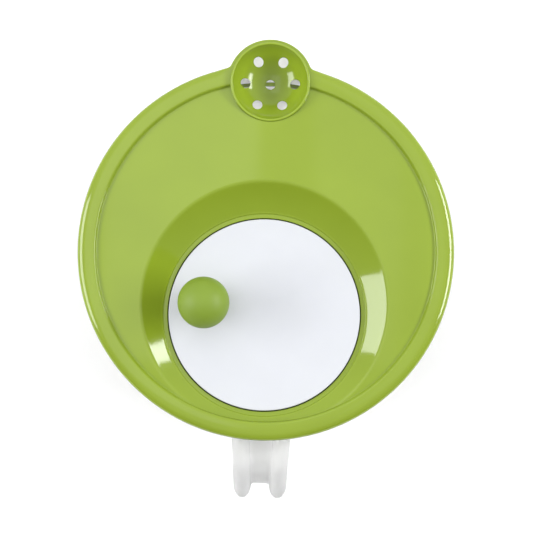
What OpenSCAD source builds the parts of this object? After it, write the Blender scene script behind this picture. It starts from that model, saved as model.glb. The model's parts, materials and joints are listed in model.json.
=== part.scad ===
// Hand-cranked whisking bowl: a frosted bowl with a spout and a forked handle, a domed lid with a
// sunk crank disc, a perforated drip cup over the spout, and a whisk driven by an internal ring gear.
// Origin: on the bowl's axis at table level. +Z up, +Y towards the spout, -Y towards the handle.

/* [Bowl] */
// Radius of the flat part of the bowl's floor
floor_r = 40; // [38:1:42]
// Radius of the curve from the floor to the wall
belly_r = 40; // [38:1:41]
// Thickness of the bowl's wall
bowl_wall = 2; // [1.6:0.2:2.4]
// Height of the bowl's rim above the table
rim_z = 111.5; // [110.5:0.5:112]
// Thickness of the spout's wall
spout_wall = 1.5; // [1.2:0.1:1.5]
// Depth of the spout below the rim
spout_depth = 32; // [26:1:40]

/* [Handle] */
// Width of the handle where it leaves the bowl
handle_w = 28.4; // [26:0.2:32]
// Width of each of the two rails
rail_w = 8.5; // [7:0.5:9.5]
// Angle by which each rail leans towards the middle
rail_lean = 3.6; // [2:0.2:4]
// Farthest reach of the handle from the bowl's axis
handle_reach = 119; // [115:1:124]
// Depth of the handle's side profile, front to back
rail_depth = 10.5; // [9:0.5:11]
// Height of the handle's lower tips above the table
handle_tip_z = 42; // [34:1:54]
// Thickness of the web between the rails
web_t = 2.5; // [2:0.5:3.5]

/* [Lid] */
// Outer radius of the lid
lid_r = 90; // [90:0.2:91]
// Width of the raised ring round the lid's edge
ring_w = 9; // [8.8:0.1:9.2]
// Height of the middle of the dome above the table
dome_z = 121; // [120:0.5:122]
// Radius of curvature of the dome
dome_r = 420; // [400:10:460]
// Thickness of the lid's wall
lid_wall = 2; // [1.6:0.2:2.4]
// Slope of the well's wall from the horizontal
well_slope = 35; // [32:1:38]

/* [Drip cup] */
// Distance of the drip cup's axis from the lid's axis
cup_y = 81.1; // [81:0.1:81.3]
// Outer radius of the drip cup's flange
flange_r = 19; // [18.9:0.1:19.2]
// Outer radius of the drip cup's bowl
cup_r = 18.3; // [17.9:0.1:18.3]
// Radius of each drip hole
drip_r = 2.35; // [2:0.05:2.5]
// Distance of the outer drip holes from the middle one
drip_pitch = 11.9; // [11:0.1:12]

/* [Crank] */
// Radius of the crank disc
disc_r = 45.75; // [45.5:0.05:45.8]
// Height of the crank disc's top above the table
disc_z = 110; // [109.8:0.1:110.4]
// Radius of the ball knob
knob_r = 12.2; // [11:0.2:13]
// Distance of the knob from the crank's axis
throw_r = 29; // [28:0.1:31]
// Direction of the knob from the crank's axis at rest
throw_angle = 170.5; // [0:0.5:359.5]

/* [Gears] */
// Tooth module of both gears
tooth_m = 1.5; // [1.5]
// Number of teeth inside the ring gear
ring_teeth = 54; // [54]
// Number of teeth on the pinion
pinion_teeth = 14; // [14]
// Play between the teeth along the pitch circle
backlash = 0.36; // [0.3:0.02:0.5]

/* [Whisk] */
// Half width of the whisk's outer loop
outer_half_w = 58; // [50:1:64]
// Half width of the whisk's inner loop
inner_half_w = 36; // [28:1:44]
// Width of the band that each loop is made of
band_w = 4; // [3:0.5:5]
// Thickness of each loop
loop_t = 2.4; // [2:0.2:3]

/* [Hidden] */

$fn = 96;
SMALL_FN = 48;
EPS = 0.01;
OVER = 1;

// Colours
green = "#a9c059";
dark_green = "#9cb443";
frosted = "#e9ebec";
white = "#eeeff8";
grey = "#b9bbbd";
nylon = "#e4e2da";
steel = "#c9ccd0";

// Running play between pieces that turn or lift apart
play = 0.3;
// Radial play of a shaft in its bearing
bearing_play = 0.05;

// Bowl
pad_r = 46;
pad_h = 3;
foot_z = 1;
foot_r = 50;
floor_t = 2.5;
floor_z = pad_h + floor_t;
belly_z = floor_z + belly_r;
belly_x = floor_r;
bowl_r = lid_r - 6;
bead_r = lid_r - 2.4;
bead_h = 3;
bead_round = 1;
spigot_r = 3;
spigot_top = 12.9;

// Spout
lobe_r = 20.5;
skirt_t = 1.8;
spout_top_r = lobe_r - skirt_t - play;
spout_tip_r = 1.6;

// Handle side profile, as distance out from the axis and height
handle_top_z = 101;
handle_bend = 20;
handle_root_x = bowl_r - 4;
handle_pivot = bowl_r + 4;
web_end_z = handle_tip_z + 6;
web_start = 0.8;

// Lid
skirt_z = 102;
ring_under_z = rim_z + play;
ring_top_z = dome_z - 6;
ring_in_r = lid_r - ring_w;
ring_corner = 3;
ring_lip = 1;
guide_t = 1.8;
guide_out_r = ring_in_r + 1.6;
guide_z = 98;
fillet_r = 3;
fillet_top_z = 113.5;
lobe_corner = 0.6;
seat_play = 0.3;
// How far the lid's seat shows round the drip cup's flange
seat_rim = 0.2;
strap_z = 101.8;

// Well and gear chamber
gear_offset = tooth_m * (ring_teeth - pinion_teeth) / 2;
crank_y = -gear_offset;
ledge_z = 109.4;
ledge_r = 48.9;
chamber_r = disc_r + 0.55;
chamber_out_r = chamber_r + 2.3;
split_z = 97.5;

// Gear housing
tray_floor_z = 91;
tray_floor_t = 2.3;
lug_r = 4;
lug_rho = 52;
lug_angles = [90, 210, 330];
lug_top_z = ledge_z + 3;
tray_screw_r = 1.35;
tray_screw_hole_r = 1.6;
tray_screw_top = 105;
tray_head_r = 2.9;
tray_head_h = 1.8;
boss_r = 9;
boss_z = 86.3;
bush_r = 6;
bush_flange_r = 8.5;
bush_flange_z = 93.6;
bush_top_z = 95.2;
shaft_r = 4;
bush_bore_r = shaft_r + bearing_play;

// Crank disc
disc_t = 4;
disc_round = 0.8;
hub_r = 9;
hub_z = 95.4;
axle_z = 86;
axle_top_z = 104.5;
axle_tap_z = 95.5;
washer_t = 1;
crank_washer_r = 7.5;
crank_screw_r = 2;
crank_head_r = 3.8;
crank_head_h = 2.6;
recess_r = 1.3;
recess_h = 1.2;

// Ring gear
web_plate_t = 2.4;
ring_plate_z = disc_z - disc_t;
ring_bottom_z = 96.5;
ring_out_r = 45;
gear_screw_r = 1.25;
gear_screw_rho = 13.5;
gear_screw_top = 109.2;
gear_head_r = 2.4;
gear_head_h = 1.6;
gear_screw_angles = [30, 150, 270];

// Tooth form
pressure = 20;
ring_addendum = 0.7 * tooth_m;
ring_dedendum = 1.25 * tooth_m;
pinion_addendum = 0.9 * tooth_m;
pinion_dedendum = 1.2 * tooth_m;
flank_steps = 4;

// Pinion and shaft
pinion_z = 97;
pinion_top_z = 103.2;
pinion_hub_r = 7;
pinion_hub_z = bush_top_z + 0.2;
flat_depth = 0.8;
shaft_z = 14.2;
clip_t = 1;
clip_z = 84.9;
clip_r = 7;
clip_groove_r = 3.2;
clip_gap = 4;

// Knob
knob_x = throw_r * cos(throw_angle);
knob_y = crank_y + throw_r * sin(throw_angle);
knob_z = disc_z + 17.2;
pin_r = 3;
pin_head_r = 5;
pin_head_h = 1.6;
pin_top_z = knob_z + 2.7;
knob_washer_t = 0.6;
knob_washer_r = 6.2;
neck_z = disc_z + knob_washer_t + play;
neck_r = 7;
knob_clip_z = knob_z;
knob_clip_t = 0.9;
knob_clip_r = 4.3;
knob_clip_groove_r = 2.3;
knob_clip_gap = 2.4;
knob_groove_r = 4.8;

// Drip cup
flange_z = ring_top_z + 0.15;
cup_top_z = ring_top_z + 1.8;
cup_z = strap_z + 1.3;
cup_wall = 1;
cup_lip = 0.7;
flange_round = 0.6;

// Whisk
collar_r = 8;
collar_z = 64;
collar_top_z = 82;
whisk_foot_r = 6;
whisk_foot_z = floor_z + 0.5;
whisk_foot_top_z = 24;
foot_bore_r = spigot_r + 0.06;
foot_bore_top = 13.4;
outer_loop_z = 9.5;
outer_loop_top_z = 79;
inner_loop_z = 16;
inner_loop_top_z = 72;
loop_power = 2.4;
loop_step = 6;

// Points of an arc round centre c from angle a0 to a1
function arc(c, r, a0, a1, n = 8) =
    [for (i = [0 : n]) let (a = a0 + (a1 - a0) * i / n) c + r * [cos(a), sin(a)]];

// Points of a round dish, from its middle at height low to radius r at height high
function dish(r, low, high, n = 14) =
    let (bend_r = (r * r / (high - low) + high - low) / 2,
         end = asin(r / bend_r))
    [for (i = [0 : n]) let (a = end * i / n) [bend_r * sin(a), low + bend_r * (1 - cos(a))]];

// Involute of an angle, in degrees
function inv(a) = tan(a) * 180 / PI - a;

// Half angle of a tooth of a z-tooth gear at radius r, widened by extra millimetres on its pitch circle
function tooth_half(z, r, extra) =
    let (pitch = tooth_m * z / 2, base = pitch * cos(pressure))
    90 / z + extra / 2 / pitch * 180 / PI + inv(pressure) - inv(acos(min(1, base / r)));

// One side of a tooth from its root to its tip, as radius and half angle
function flank(z, root, tip, extra) =
    let (base = tooth_m * z / 2 * cos(pressure), low = max(root, base))
    concat(
        root < base ? [[root, tooth_half(z, base, extra)]] : [],
        [for (i = [0 : flank_steps]) let (r = low + (tip - low) * i / flank_steps)
            [r, tooth_half(z, r, extra)]]
    );

// Outline of a gear with z teeth, one of them centred on the +Y axis
function gear_outline(z, root, tip, extra) =
    let (side = flank(z, root, tip, extra), n = len(side))
    [for (k = [0 : z - 1]) for (j = [0 : 2 * n - 1])
        let (
            p = j < n ? side[j] : side[2 * n - 1 - j],
            a = 90 + 360 * k / z + (j < n ? -p[1] : p[1])
        )
        p[0] * [cos(a), sin(a)]];

// Outline of a rounded loop of half width a between heights low and high
function loop_outline(a, low, high) =
    [for (t = [0 : loop_step : 360 - loop_step])
        let (b = (high - low) / 2)
        [a * sign(cos(t)) * pow(abs(cos(t)), 2 / loop_power),
         low + b + b * sign(sin(t)) * pow(abs(sin(t)), 2 / loop_power)]];

// A shape placed on the crank's axis
module at_crank() {
    translate([0, crank_y, 0]) children();
}

module at_knob() {
    translate([knob_x, knob_y, 0]) children();
}

module at_cup() {
    translate([0, cup_y, 0]) children();
}

// A vertical cylinder from height low to height high
module post(r, low, high, fn = $fn) {
    translate([0, 0, low]) cylinder(h = high - low, r = r, $fn = fn);
}

// A cross-head screw pointing up, its head's top face at height seat
module screw_up(r, top, seat, head_r, head_h) {
    difference() {
        union() {
            post(r, seat - EPS, top, SMALL_FN);
            post(head_r, seat - head_h, seat, SMALL_FN);
        }
        for (a = [0, 90])
            rotate([0, 0, a])
                translate([-recess_r, -recess_r / 4, seat - head_h - OVER])
                    cube([2 * recess_r, recess_r / 2, recess_h + OVER]);
    }
}

// Outline of the lid seen from above, grown by g: a circle, the spout's lobe and two concave fillets
module lid_fillets(g) {
    far = lid_r + fillet_r;
    near = lobe_r + fillet_r;
    bend = acos((far * far + cup_y * cup_y - near * near) / (2 * far * cup_y));
    centre = far * [sin(bend), cos(bend)];
    for (side = [0, 1])
        mirror([side, 0])
            difference() {
                polygon([
                    [0, cup_y],
                    [0, cup_y] + lobe_r / near * (centre - [0, cup_y]),
                    centre,
                    centre * lid_r / far
                ]);
                translate(centre) circle(r = fillet_r - g);
            }
}

module lid_outline(g) {
    circle(r = lid_r + g);
    translate([0, cup_y]) circle(r = lobe_r + g);
    lid_fillets(g);
}

// The bowl's outer form as a full solid of revolution
module bowl_form() {
    outer_r = belly_r + bowl_wall;
    foot_angle = -acos((foot_r - belly_x) / outer_r);
    rotate_extrude()
        polygon(concat(
            [[0, pad_h], [pad_r + 0.2, pad_h], [pad_r + 0.2, foot_z], [foot_r, foot_z]],
            arc([belly_x, belly_z], outer_r, foot_angle, 0, 16),
            [[bowl_r + bowl_wall, rim_z - bead_h - bowl_wall]],
            [[bead_r, rim_z - bead_h]],
            arc([bead_r - bead_round, rim_z - bead_round], bead_round, 0, 90, 4),
            [[0, rim_z]]
        ));
}

// The room inside the bowl, open at the top
module bowl_room() {
    rotate_extrude()
        polygon(concat(
            [[0, floor_z]],
            arc([belly_x, belly_z], belly_r, -90, 0, 16),
            [[bowl_r, rim_z], [bowl_r, rim_z + OVER], [0, rim_z + OVER]]
        ));
}

// Cone under the spout's lip, its wall moved in by inset and run on past the rim by over
module spout_cone(inset, over) {
    slope = (spout_top_r - spout_tip_r) / spout_depth;
    at_cup()
        rotate([0, 0, -90])
            translate([0, 0, rim_z - spout_depth])
                cylinder(
                    h = spout_depth + over,
                    r1 = spout_tip_r - inset,
                    r2 = spout_top_r - inset + slope * over
                );
}

// Side profile of the handle: a band that leaves the wall level and bends down to a round tip,
// its inner side set out by start
module handle_side(start, depth, low_z) {
    bend_x = handle_reach - handle_bend;
    bend_z = handle_top_z - handle_bend;
    inner_r = handle_bend - rail_depth + start;
    outer_r = inner_r + depth;
    tip_r = depth / 2;
    tip_x = bend_x + inner_r + tip_r;
    polygon(concat(
        [[handle_root_x, bend_z + inner_r], [bend_x, bend_z + inner_r]],
        arc([bend_x, bend_z], inner_r, 90, 0, 10),
        arc([tip_x, low_z + tip_r], tip_r, 180, 360, 12),
        arc([bend_x, bend_z], outer_r, 0, 90, 10),
        [[handle_root_x, bend_z + outer_r]]
    ));
}

module handle_plate(width, start, depth, low_z) {
    rotate([90, 0, -90])
        translate([0, 0, -width / 2])
            linear_extrude(width) handle_side(start, depth, low_z);
}

module handle_form() {
    rail_mid = (handle_w - rail_w) / 2;
    for (side = [-1, 1])
        translate([side * rail_mid, -handle_pivot, 0])
            rotate([0, 0, side * -rail_lean])
                translate([0, handle_pivot, 0])
                    handle_plate(rail_w, 0, rail_depth, handle_tip_z);
    handle_plate(handle_w - rail_w, web_start, web_t, web_end_z);
}

module mixing_bowl() {
    color(frosted) {
        difference() {
            union() {
                bowl_form();
                spout_cone(0, 0);
            }
            bowl_room();
            spout_cone(spout_wall, OVER);
        }
        post(spigot_r, floor_z - OVER, spigot_top, SMALL_FN);
    }
}

module bowl_handle() {
    color(frosted)
        difference() {
            handle_form();
            bowl_form();
        }
}

module base_pad() {
    color(grey) post(pad_r, 0, pad_h);
}

// Dome, raised ring and inner guide ring of the lid as a solid of revolution
module lid_shell() {
    dome_end = asin(ring_in_r / dome_r);
    under_r = dome_r - lid_wall;
    under_end = asin((guide_out_r - guide_t) / under_r);
    centre = [0, dome_z - dome_r];
    rotate_extrude()
        polygon(concat(
            arc(centre, dome_r, 90, 90 - dome_end, 8),
            arc([ring_in_r + ring_lip, ring_top_z - ring_lip], ring_lip, 180, 90, 4),
            arc([lid_r - ring_corner, ring_top_z - ring_corner], ring_corner, 90, 0, 8),
            [[lid_r, ring_under_z], [guide_out_r, ring_under_z]],
            [[guide_out_r, guide_z], [guide_out_r - guide_t, guide_z]],
            arc(centre, under_r, 90 - under_end, 90, 8)
        ));
}

// Everything below the dome's top surface and inside the raised ring
module under_dome() {
    dome_end = asin((ring_in_r + ring_lip) / dome_r);
    rotate_extrude()
        polygon(concat(
            [[0, guide_z]],
            [[ring_in_r + ring_lip, guide_z]],
            arc([0, dome_z - dome_r], dome_r, 90 - dome_end, 90, 8)
        ));
}

// Cone from the ledge up past the dome; sink lowers it to give the wall its thickness
module well_cone(sink, floor_sink) {
    rise = dome_z + OVER - ledge_z;
    at_crank()
        rotate_extrude()
            polygon([
                [0, ledge_z - floor_sink],
                [ledge_r + (sink - floor_sink) / tan(well_slope), ledge_z - floor_sink],
                [ledge_r + (rise + sink) / tan(well_slope), ledge_z + rise],
                [0, ledge_z + rise]
            ]);
}

module lid() {
    wall_drop = lid_wall / cos(well_slope);
    color(green)
        difference() {
            union() {
                lid_shell();
                intersection() {
                    well_cone(wall_drop, lid_wall);
                    under_dome();
                }
                translate([0, 0, skirt_z])
                    linear_extrude(ring_under_z + EPS - skirt_z)
                        difference() {
                            lid_outline(0);
                            lid_outline(-skirt_t);
                        }
                translate([0, 0, ring_under_z])
                    linear_extrude(fillet_top_z - ring_under_z) lid_fillets(0);
                at_cup() post(flange_r + seat_rim, ring_under_z, ring_top_z);
                difference() {
                    at_cup()
                        rotate_extrude()
                            polygon(concat(
                                [[0, ring_under_z], [lobe_r, ring_under_z]],
                                arc([lobe_r - lobe_corner, ring_top_z - lobe_corner], lobe_corner, 0, 90, 4),
                                [[0, ring_top_z]]
                            ));
                    post(ring_in_r + ring_lip, ring_under_z - OVER, dome_z);
                }
                at_crank() {
                    post(chamber_out_r, split_z, ledge_z);
                    for (a = lug_angles)
                        rotate([0, 0, a]) translate([lug_rho, 0, 0]) post(lug_r, split_z, lug_top_z, SMALL_FN);
                }
            }
            intersection() {
                well_cone(0, 0);
                post(ring_in_r, ledge_z - OVER, dome_z + OVER);
            }
            at_crank() {
                post(chamber_r, guide_z - OVER - EPS, ledge_z + OVER);
                for (a = lug_angles)
                    rotate([0, 0, a])
                        translate([lug_rho, 0, 0])
                            post(tray_screw_r, split_z - OVER, tray_screw_top + play, SMALL_FN);
            }
            at_cup() {
                post(cup_r + seat_play, strap_z, dome_z);
                post(flange_r + seat_play, ring_top_z, dome_z);
            }
        }
}

module gear_housing() {
    color(dark_green)
        difference() {
            union() {
                at_crank() {
                    post(chamber_out_r, tray_floor_z, split_z);
                    post(boss_r, boss_z, tray_floor_z + EPS);
                    for (a = lug_angles)
                        rotate([0, 0, a]) translate([lug_rho, 0, 0]) post(lug_r, tray_floor_z, split_z, SMALL_FN);
                }
                post(boss_r, boss_z, tray_floor_z + EPS);
            }
            difference() {
                at_crank() post(chamber_r, tray_floor_z + tray_floor_t, split_z + OVER);
                at_crank() post(boss_r, tray_floor_z, bush_flange_z);
                post(boss_r, tray_floor_z, bush_flange_z);
            }
            at_crank() {
                post(bush_r, boss_z - OVER, split_z, SMALL_FN);
                for (a = lug_angles)
                    rotate([0, 0, a])
                        translate([lug_rho, 0, 0])
                            post(tray_screw_hole_r, tray_floor_z - OVER, split_z + OVER, SMALL_FN);
            }
            post(bush_r, boss_z - OVER, split_z, SMALL_FN);
        }
}

module housing_screws() {
    color(steel)
        at_crank()
            for (a = lug_angles)
                rotate([0, 0, a])
                    translate([lug_rho, 0, 0])
                        screw_up(tray_screw_r, tray_screw_top, tray_floor_z, tray_head_r, tray_head_h);
}

// Flanged bearing bush
module bush() {
    difference() {
        union() {
            post(bush_r, boss_z, bush_top_z, SMALL_FN);
            post(bush_flange_r, bush_flange_z, bush_top_z, SMALL_FN);
        }
        post(bush_bore_r, boss_z - OVER, bush_top_z + OVER, SMALL_FN);
    }
}

module crank_bush() {
    color(nylon) at_crank() bush();
}

module pinion_bush() {
    color(nylon) bush();
}

module crank_disc() {
    color(white)
        difference() {
            at_crank() {
                rotate_extrude()
                    polygon(concat(
                        [[0, disc_z - disc_t], [disc_r, disc_z - disc_t]],
                        arc([disc_r - disc_round, disc_z - disc_round], disc_round, 0, 90, 4),
                        [[0, disc_z]]
                    ));
                post(hub_r, hub_z, disc_z - disc_t + EPS);
            }
            at_crank() {
                post(shaft_r, hub_z - OVER, axle_top_z, SMALL_FN);
                for (a = gear_screw_angles)
                    rotate([0, 0, a])
                        translate([gear_screw_rho, 0, 0])
                            post(gear_screw_r, disc_z - disc_t - OVER, gear_screw_top, SMALL_FN);
            }
            at_knob() {
                post(pin_r, disc_z - disc_t - OVER, disc_z + OVER, SMALL_FN);
                post(pin_head_r, disc_z - disc_t - OVER, disc_z - disc_t + pin_head_h, SMALL_FN);
            }
        }
}

module ring_gear() {
    pitch = tooth_m * ring_teeth / 2;
    color(nylon)
        at_crank()
            difference() {
                post(ring_out_r, ring_bottom_z, ring_plate_z);
                translate([0, 0, ring_bottom_z - OVER])
                    linear_extrude(ring_plate_z - web_plate_t - ring_bottom_z + OVER)
                        polygon(gear_outline(
                            ring_teeth, pitch - ring_addendum, pitch + ring_dedendum, backlash / 2
                        ));
                post(hub_r, ring_bottom_z - OVER, ring_plate_z + OVER);
                for (a = gear_screw_angles)
                    rotate([0, 0, a])
                        translate([gear_screw_rho, 0, 0])
                            post(gear_screw_r, ring_bottom_z, ring_plate_z + OVER, SMALL_FN);
            }
}

module gear_screws() {
    color(steel)
        at_crank()
            for (a = gear_screw_angles)
                rotate([0, 0, a])
                    translate([gear_screw_rho, 0, 0])
                        screw_up(
                            gear_screw_r, gear_screw_top, ring_plate_z - web_plate_t, gear_head_r, gear_head_h
                        );
}

module crank_axle() {
    color(steel)
        at_crank()
            difference() {
                post(shaft_r, axle_z, axle_top_z, SMALL_FN);
                post(crank_screw_r, axle_z - OVER, axle_tap_z, SMALL_FN);
            }
}

module crank_washer() {
    color(steel)
        at_crank()
            difference() {
                post(crank_washer_r, axle_z - washer_t, axle_z, SMALL_FN);
                post(crank_screw_r, axle_z - washer_t - OVER, axle_z + OVER, SMALL_FN);
            }
}

module crank_screw() {
    color(steel)
        at_crank()
            screw_up(crank_screw_r, axle_tap_z, axle_z - washer_t, crank_head_r, crank_head_h);
}

module knob_pin() {
    color(steel)
        at_knob()
            difference() {
                union() {
                    post(pin_r, disc_z - disc_t, pin_top_z, SMALL_FN);
                    post(pin_head_r, disc_z - disc_t, disc_z - disc_t + pin_head_h, SMALL_FN);
                }
                difference() {
                    post(pin_r + OVER, knob_clip_z, knob_clip_z + knob_clip_t, SMALL_FN);
                    post(knob_clip_groove_r, knob_clip_z - OVER, knob_clip_z + knob_clip_t + OVER, SMALL_FN);
                }
            }
}

module knob_washer() {
    color(nylon)
        at_knob()
            difference() {
                post(knob_washer_r, disc_z, disc_z + knob_washer_t, SMALL_FN);
                post(pin_r, disc_z - OVER, disc_z + knob_washer_t + OVER, SMALL_FN);
            }
}

// Open ring that snaps into a groove: inner radius r, outer radius out, thickness t, opening gap
module snap_ring(r, out, t, gap) {
    difference() {
        cylinder(h = t, r = out, $fn = SMALL_FN);
        translate([0, 0, -OVER]) cylinder(h = t + 2 * OVER, r = r, $fn = SMALL_FN);
        translate([0, -gap / 2, -OVER]) cube([out + OVER, gap, t + 2 * OVER]);
    }
}

module knob_clip() {
    color(steel)
        at_knob()
            translate([0, 0, knob_clip_z])
                snap_ring(knob_clip_groove_r, knob_clip_r, knob_clip_t, knob_clip_gap);
}

module crank_knob() {
    color(green)
        at_knob()
            difference() {
                union() {
                    translate([0, 0, knob_z]) sphere(r = knob_r);
                    post(neck_r, neck_z, knob_z - knob_r / 2);
                }
                post(pin_r + bearing_play, neck_z - OVER, pin_top_z + play, SMALL_FN);
                post(knob_groove_r, knob_clip_z - play, knob_clip_z + knob_clip_t + play, SMALL_FN);
            }
}

// Round shaft with one flat, from height low to height high
module flat_shaft(r, low, high) {
    intersection() {
        post(r, low, high, SMALL_FN);
        translate([-r - OVER, -r - OVER, low])
            cube([2 * r + OVER - flat_depth, 2 * (r + OVER), high - low]);
    }
}

module pinion_gear() {
    pitch = tooth_m * pinion_teeth / 2;
    color(nylon)
        difference() {
            union() {
                translate([0, 0, pinion_z])
                    linear_extrude(pinion_top_z - pinion_z)
                        polygon(gear_outline(
                            pinion_teeth, pitch - pinion_dedendum, pitch + pinion_addendum, -backlash / 2
                        ));
                post(pinion_hub_r, pinion_hub_z, pinion_z + EPS, SMALL_FN);
            }
            flat_shaft(shaft_r, pinion_hub_z - OVER, pinion_top_z + OVER);
        }
}

module whisk_shaft() {
    color(steel)
        difference() {
            union() {
                post(shaft_r, shaft_z, pinion_hub_z, SMALL_FN);
                flat_shaft(shaft_r, pinion_hub_z - EPS, pinion_top_z);
            }
            difference() {
                post(shaft_r + OVER, clip_z, clip_z + clip_t, SMALL_FN);
                post(clip_groove_r, clip_z - OVER, clip_z + clip_t + OVER, SMALL_FN);
            }
        }
}

module shaft_clip() {
    color(steel) translate([0, 0, clip_z]) snap_ring(clip_groove_r, clip_r, clip_t, clip_gap);
}

module whisk_collar() {
    color(nylon)
        difference() {
            post(collar_r, collar_z, collar_top_z, SMALL_FN);
            post(shaft_r, collar_z - OVER, collar_top_z + OVER, SMALL_FN);
            outer_pair();
            inner_pair();
        }
}

// Pair of flat D-shaped loops in the XZ plane, one each side of the shaft
module loop_pair(half_w, low, high) {
    difference() {
        rotate([90, 0, 0])
            translate([0, 0, -loop_t / 2])
                linear_extrude(loop_t)
                    difference() {
                        polygon(loop_outline(half_w, low, high));
                        polygon(loop_outline(half_w - band_w, low + band_w, high - band_w));
                    }
        post(shaft_r, whisk_foot_z, collar_top_z, SMALL_FN);
    }
}

module outer_pair() {
    loop_pair(outer_half_w, outer_loop_z, outer_loop_top_z);
}

module inner_pair() {
    rotate([0, 0, 90]) loop_pair(inner_half_w, inner_loop_z, inner_loop_top_z);
}

module outer_loops() {
    color(nylon) outer_pair();
}

module inner_loops() {
    color(nylon) inner_pair();
}

module whisk_foot() {
    color(nylon)
        difference() {
            post(whisk_foot_r, whisk_foot_z, whisk_foot_top_z, SMALL_FN);
            post(shaft_r, shaft_z, whisk_foot_top_z + OVER, SMALL_FN);
            post(foot_bore_r, whisk_foot_z - OVER, foot_bore_top, SMALL_FN);
            outer_pair();
            inner_pair();
        }
}

module drip_cup() {
    inner = dish(cup_r - cup_lip, cup_z + cup_wall, cup_top_z - cup_lip);
    color(green)
        at_cup()
            difference() {
                rotate_extrude()
                    polygon(concat(
                        dish(cup_r, cup_z, flange_z),
                        [[flange_r, flange_z]],
                        arc([flange_r - flange_round, cup_top_z - flange_round], flange_round, 0, 90, 4),
                        arc([cup_r, cup_top_z - cup_lip], cup_lip, 90, 180, 6),
                        [for (i = [len(inner) - 2 : -1 : 0]) inner[i]]
                    ));
                post(drip_r, cup_z - OVER, cup_top_z, SMALL_FN);
                for (a = [0 : 60 : 300])
                    rotate([0, 0, a])
                        translate([drip_pitch, 0, 0])
                            post(drip_r, cup_z - OVER, cup_top_z, SMALL_FN);
            }
}

mixing_bowl();
bowl_handle();
base_pad();
lid();
gear_housing();
housing_screws();
crank_bush();
pinion_bush();
crank_disc();
ring_gear();
gear_screws();
crank_axle();
crank_washer();
crank_screw();
knob_pin();
knob_washer();
knob_clip();
crank_knob();
pinion_gear();
whisk_shaft();
shaft_clip();
whisk_collar();
outer_loops();
inner_loops();
whisk_foot();
drip_cup();
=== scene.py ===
# Hand-cranked whisking bowl: the looks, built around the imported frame.
# Shapes are worked out in millimetres and made in metres. +Z is up, +Y points towards the spout.
import json
import math

import bmesh
import bpy
from mathutils import Matrix, Vector


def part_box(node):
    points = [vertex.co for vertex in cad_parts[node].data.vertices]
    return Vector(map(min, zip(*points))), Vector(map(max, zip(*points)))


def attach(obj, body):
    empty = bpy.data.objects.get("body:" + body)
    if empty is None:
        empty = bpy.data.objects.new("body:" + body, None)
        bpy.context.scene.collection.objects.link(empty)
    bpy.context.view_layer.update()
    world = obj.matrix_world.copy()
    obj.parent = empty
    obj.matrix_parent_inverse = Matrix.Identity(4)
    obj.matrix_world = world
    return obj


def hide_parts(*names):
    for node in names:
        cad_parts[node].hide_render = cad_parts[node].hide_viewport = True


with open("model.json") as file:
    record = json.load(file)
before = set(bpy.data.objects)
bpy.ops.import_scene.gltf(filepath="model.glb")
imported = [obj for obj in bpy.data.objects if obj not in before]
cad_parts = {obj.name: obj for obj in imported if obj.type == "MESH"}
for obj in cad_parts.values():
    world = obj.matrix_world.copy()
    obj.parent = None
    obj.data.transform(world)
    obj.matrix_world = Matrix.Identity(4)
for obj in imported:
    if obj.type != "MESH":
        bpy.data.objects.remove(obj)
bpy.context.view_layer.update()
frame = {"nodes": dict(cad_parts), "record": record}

MM = 0.001


def box_mm(node):
    low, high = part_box(node)
    return low / MM, high / MM


# ---------------------------------------------------------------- sizes taken from the frame
lid_low, lid_high = box_mm("lid")
disc_low, disc_high = box_mm("crank_disc")
knob_low, knob_high = box_mm("crank_knob")
cup_low, cup_high = box_mm("drip_cup")
bowl_low, bowl_high = box_mm("mixing_bowl")
handle_low, handle_high = box_mm("bowl_handle")
pad_low, pad_high = box_mm("base_pad")
tray_low, tray_high = box_mm("gear_housing")
collar_low, collar_high = box_mm("whisk_collar")
foot_low, foot_high = box_mm("whisk_foot")
outer_low, outer_high = box_mm("outer_loops")
inner_low, inner_high = box_mm("inner_loops")
bush_low, bush_high = box_mm("pinion_bush")

# Places of the axes, and sizes of the pieces that show
AXIS = (0, 0)
CRANK = ((disc_low.x + disc_high.x) / 2, (disc_low.y + disc_high.y) / 2)
KNOB = ((knob_low.x + knob_high.x) / 2, (knob_low.y + knob_high.y) / 2)
CUP = ((cup_low.x + cup_high.x) / 2, (cup_low.y + cup_high.y) / 2)
DISC_R = (disc_high.x - disc_low.x) / 2
KNOB_R = (knob_high.x - knob_low.x) / 2
FLANGE_R = (cup_high.x - cup_low.x) / 2
LID_R = lid_high.x
LOBE_R = lid_high.y - CUP[1]

# Lid: dome, raised ring with its foot, shoulder and fall, skirt, and the corners of its outline
DOME_Z, DOME_R = 121.0, 420.0
RIM_Z = bowl_high.z
RING_TOP, RING_UNDER = DOME_Z - 6, RIM_Z + 0.3
RING_IN_R = LID_R - 9
RING_FOOT, RING_SHOULDER = 0.6, 1.25
RING_FALL, RING_FALL_R, RING_FALL_END = 0.026, 82.6, LID_R - 2
RING_STATIONS = (83.1, 84.0, 84.8, 85.7, 86.4)
RIM_CORNER, LOBE_CORNER = 3.0, 1.1
LOBE_EDGE = (12, 17)
FILLET_R = 3.0
SKIRT_Z, SKIRT_T, SKIRT_ROUND = tray_high.z + 4.5, 1.8, 0.6
LID_WALL, WALL_TILT = 2.0, 35

# Lid: ledge round the disc, and the well's wall, whose slope grows with the distance from the ledge
LEDGE_Z, LEDGE_R, LEDGE_DROP = disc_high.z - 0.6, 48.9, 0.7
WELL_SLOPE, WELL_BEND = math.tan(math.radians(30.5)), 0.0165
LEDGE_BLEND, CREASE_BLEND, UNDER_BLEND = 0.3, 1.0, 1.5

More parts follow.
